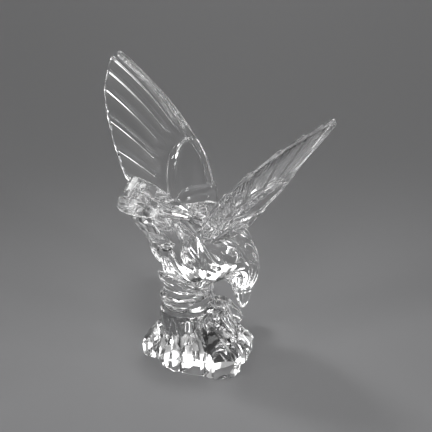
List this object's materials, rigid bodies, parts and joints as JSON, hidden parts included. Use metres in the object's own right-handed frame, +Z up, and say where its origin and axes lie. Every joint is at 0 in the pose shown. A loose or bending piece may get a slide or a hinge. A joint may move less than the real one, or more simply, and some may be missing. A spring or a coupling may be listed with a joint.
{
  "type": "crystal eagle statuette",
  "caption": "Clear cast-crystal eagle stooping head down off a faceted rock, wings raised in a V and a layered fan tail behind, on a flat underside",
  "frame": {"origin": "middle of the rock's flat underside, on the plane it stands on", "axes": "+X the way the bird faces, +Y to its left along the wing span, +Z up"},
  "size_m": [0.1174, 0.254, 0.2205],
  "materials": {
    "clear_crystal": "polished clear lead crystal"
  },
  "bodies": {
    "root": {"crystal_eagle": "clear_crystal"}
  },
  "joints": []
}
